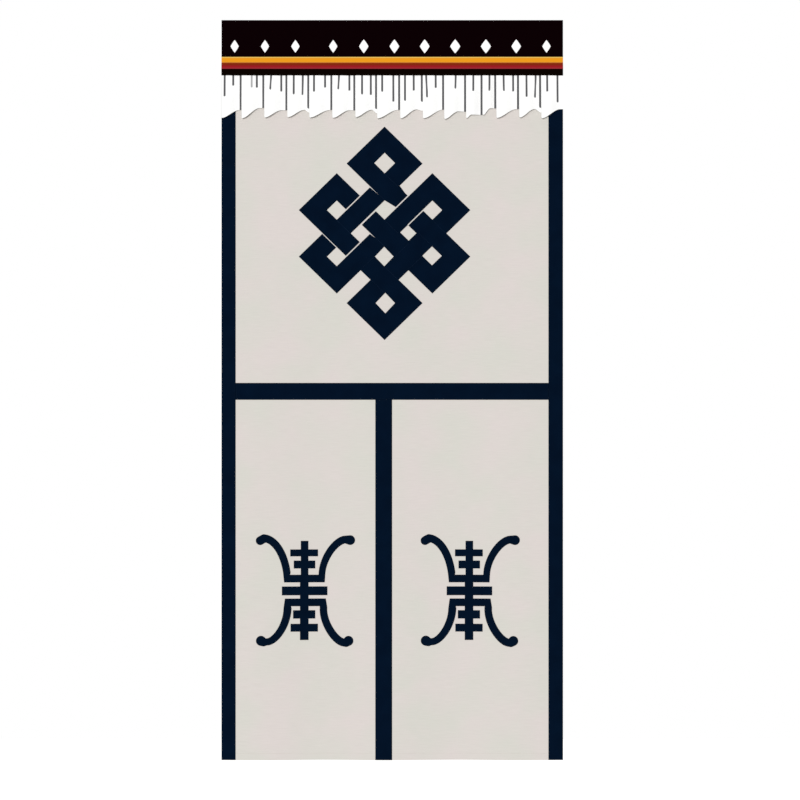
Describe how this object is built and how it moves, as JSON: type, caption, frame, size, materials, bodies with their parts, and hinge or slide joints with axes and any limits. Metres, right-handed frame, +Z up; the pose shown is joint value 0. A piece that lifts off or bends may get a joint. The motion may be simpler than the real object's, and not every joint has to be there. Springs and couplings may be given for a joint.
{
  "type": "tibetan door curtain",
  "caption": "Off-white cotton door curtain with navy strips, an endless-knot applique, long-life ornaments, a dark ribboned heading and a white knife-pleated frill.",
  "frame": {"origin": "middle of the curtain's top edge, on the cloth's back face, where it is held", "axes": "+X to the right seen from the front, +Y out of the back, +Z up; the decorated front faces -Y"},
  "size_m": [0.9, 0.0242, 1.95],
  "materials": {
    "canvas": "matt plain-weave cotton canvas",
    "navy_cotton": "matt plain-weave cotton, dyed navy",
    "black_cotton": "matt cotton twill, near black",
    "gold_ribbon": "satin-woven ribbon, golden yellow",
    "red_ribbon": "grosgrain ribbon, brown and crimson",
    "white_cotton": "matt fine cotton, white"
  },
  "bodies": {
    "root": {"panel": "canvas", "strip_left": "navy_cotton", "strip_right": "navy_cotton", "strip_cross": "navy_cotton", "strip_centre": "navy_cotton", "knot": "navy_cotton", "longlife_left": "navy_cotton", "longlife_right": "navy_cotton", "heading": "black_cotton", "ribbon_gold": "gold_ribbon", "ribbon_red": "red_ribbon", "diamond_01": "white_cotton", "diamond_02": "white_cotton", "diamond_03": "white_cotton", "diamond_04": "white_cotton", "diamond_05": "white_cotton", "diamond_06": "white_cotton", "diamond_07": "white_cotton", "diamond_08": "white_cotton", "diamond_09": "white_cotton", "diamond_10": "white_cotton", "diamond_11": "white_cotton", "frill": "white_cotton"}
  },
  "joints": []
}
